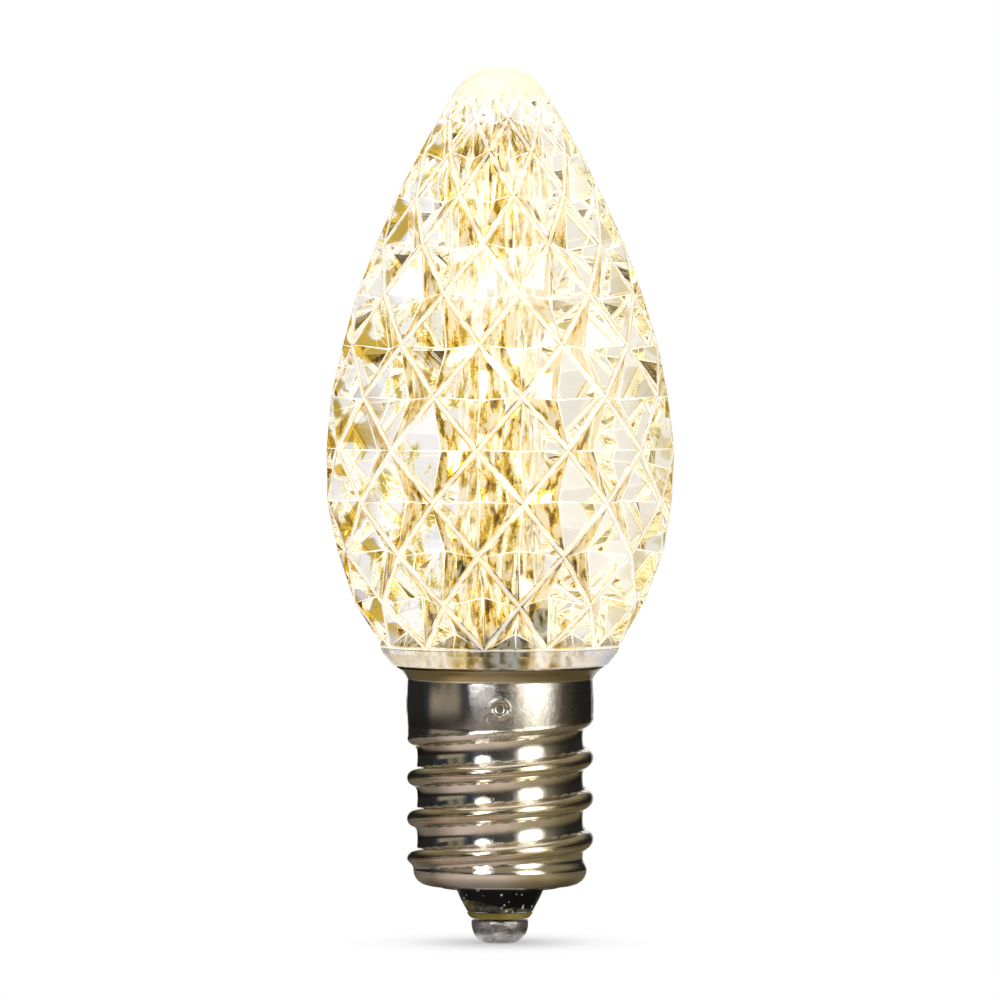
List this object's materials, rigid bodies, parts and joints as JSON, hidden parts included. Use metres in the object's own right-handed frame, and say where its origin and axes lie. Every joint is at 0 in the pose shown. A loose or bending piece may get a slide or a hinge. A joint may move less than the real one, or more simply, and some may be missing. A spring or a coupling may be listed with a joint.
{
  "type": "christmas light bulb",
  "caption": "Retrofit LED Christmas bulb: clear lens of sunk diamond facets over an upright LED strip, on a nickel-plated candelabra screw base.",
  "frame": {"origin": "middle of the flat foot of the centre contact, on the bulb's axis", "axes": "+Z along the bulb's axis from the contact to the tip of the lens; -Y towards the camera"},
  "size_m": [0.0218, 0.0218, 0.0549],
  "materials": {
    "clear_lens": "clear moulded polycarbonate, polished facets",
    "nickel_plate": "bright nickel plate on brass sheet, lightly marked",
    "black_glass": "glossy black insulating glass",
    "brass": "drawn brass, stained by flux",
    "solder": "dull grey solder",
    "white_nylon": "white moulded nylon",
    "board_laminate": "white-masked glass-epoxy laminate",
    "led_package": "white package with yellow phosphor, lit warm white",
    "black_epoxy": "black moulded epoxy",
    "resistor_glaze": "black glaze with tinned ends",
    "capacitor_ceramic": "tan ceramic with tinned ends",
    "tinned_copper": "tinned copper wire"
  },
  "bodies": {
    "root": {"lens": "clear_lens", "screw_shell": "nickel_plate", "insulator": "black_glass", "contact_eyelet": "brass", "solder_tip": "solder", "board_seat": "white_nylon", "led_board": "board_laminate", "led_1": "led_package", "led_2": "led_package", "led_3": "led_package", "led_4": "led_package", "led_5": "led_package", "led_6": "led_package", "rectifier": "black_epoxy", "resistor_1": "resistor_glaze", "resistor_2": "resistor_glaze", "capacitor": "capacitor_ceramic", "centre_lead": "tinned_copper", "side_lead": "tinned_copper", "centre_joint": "solder", "side_joint": "solder"}
  },
  "joints": []
}
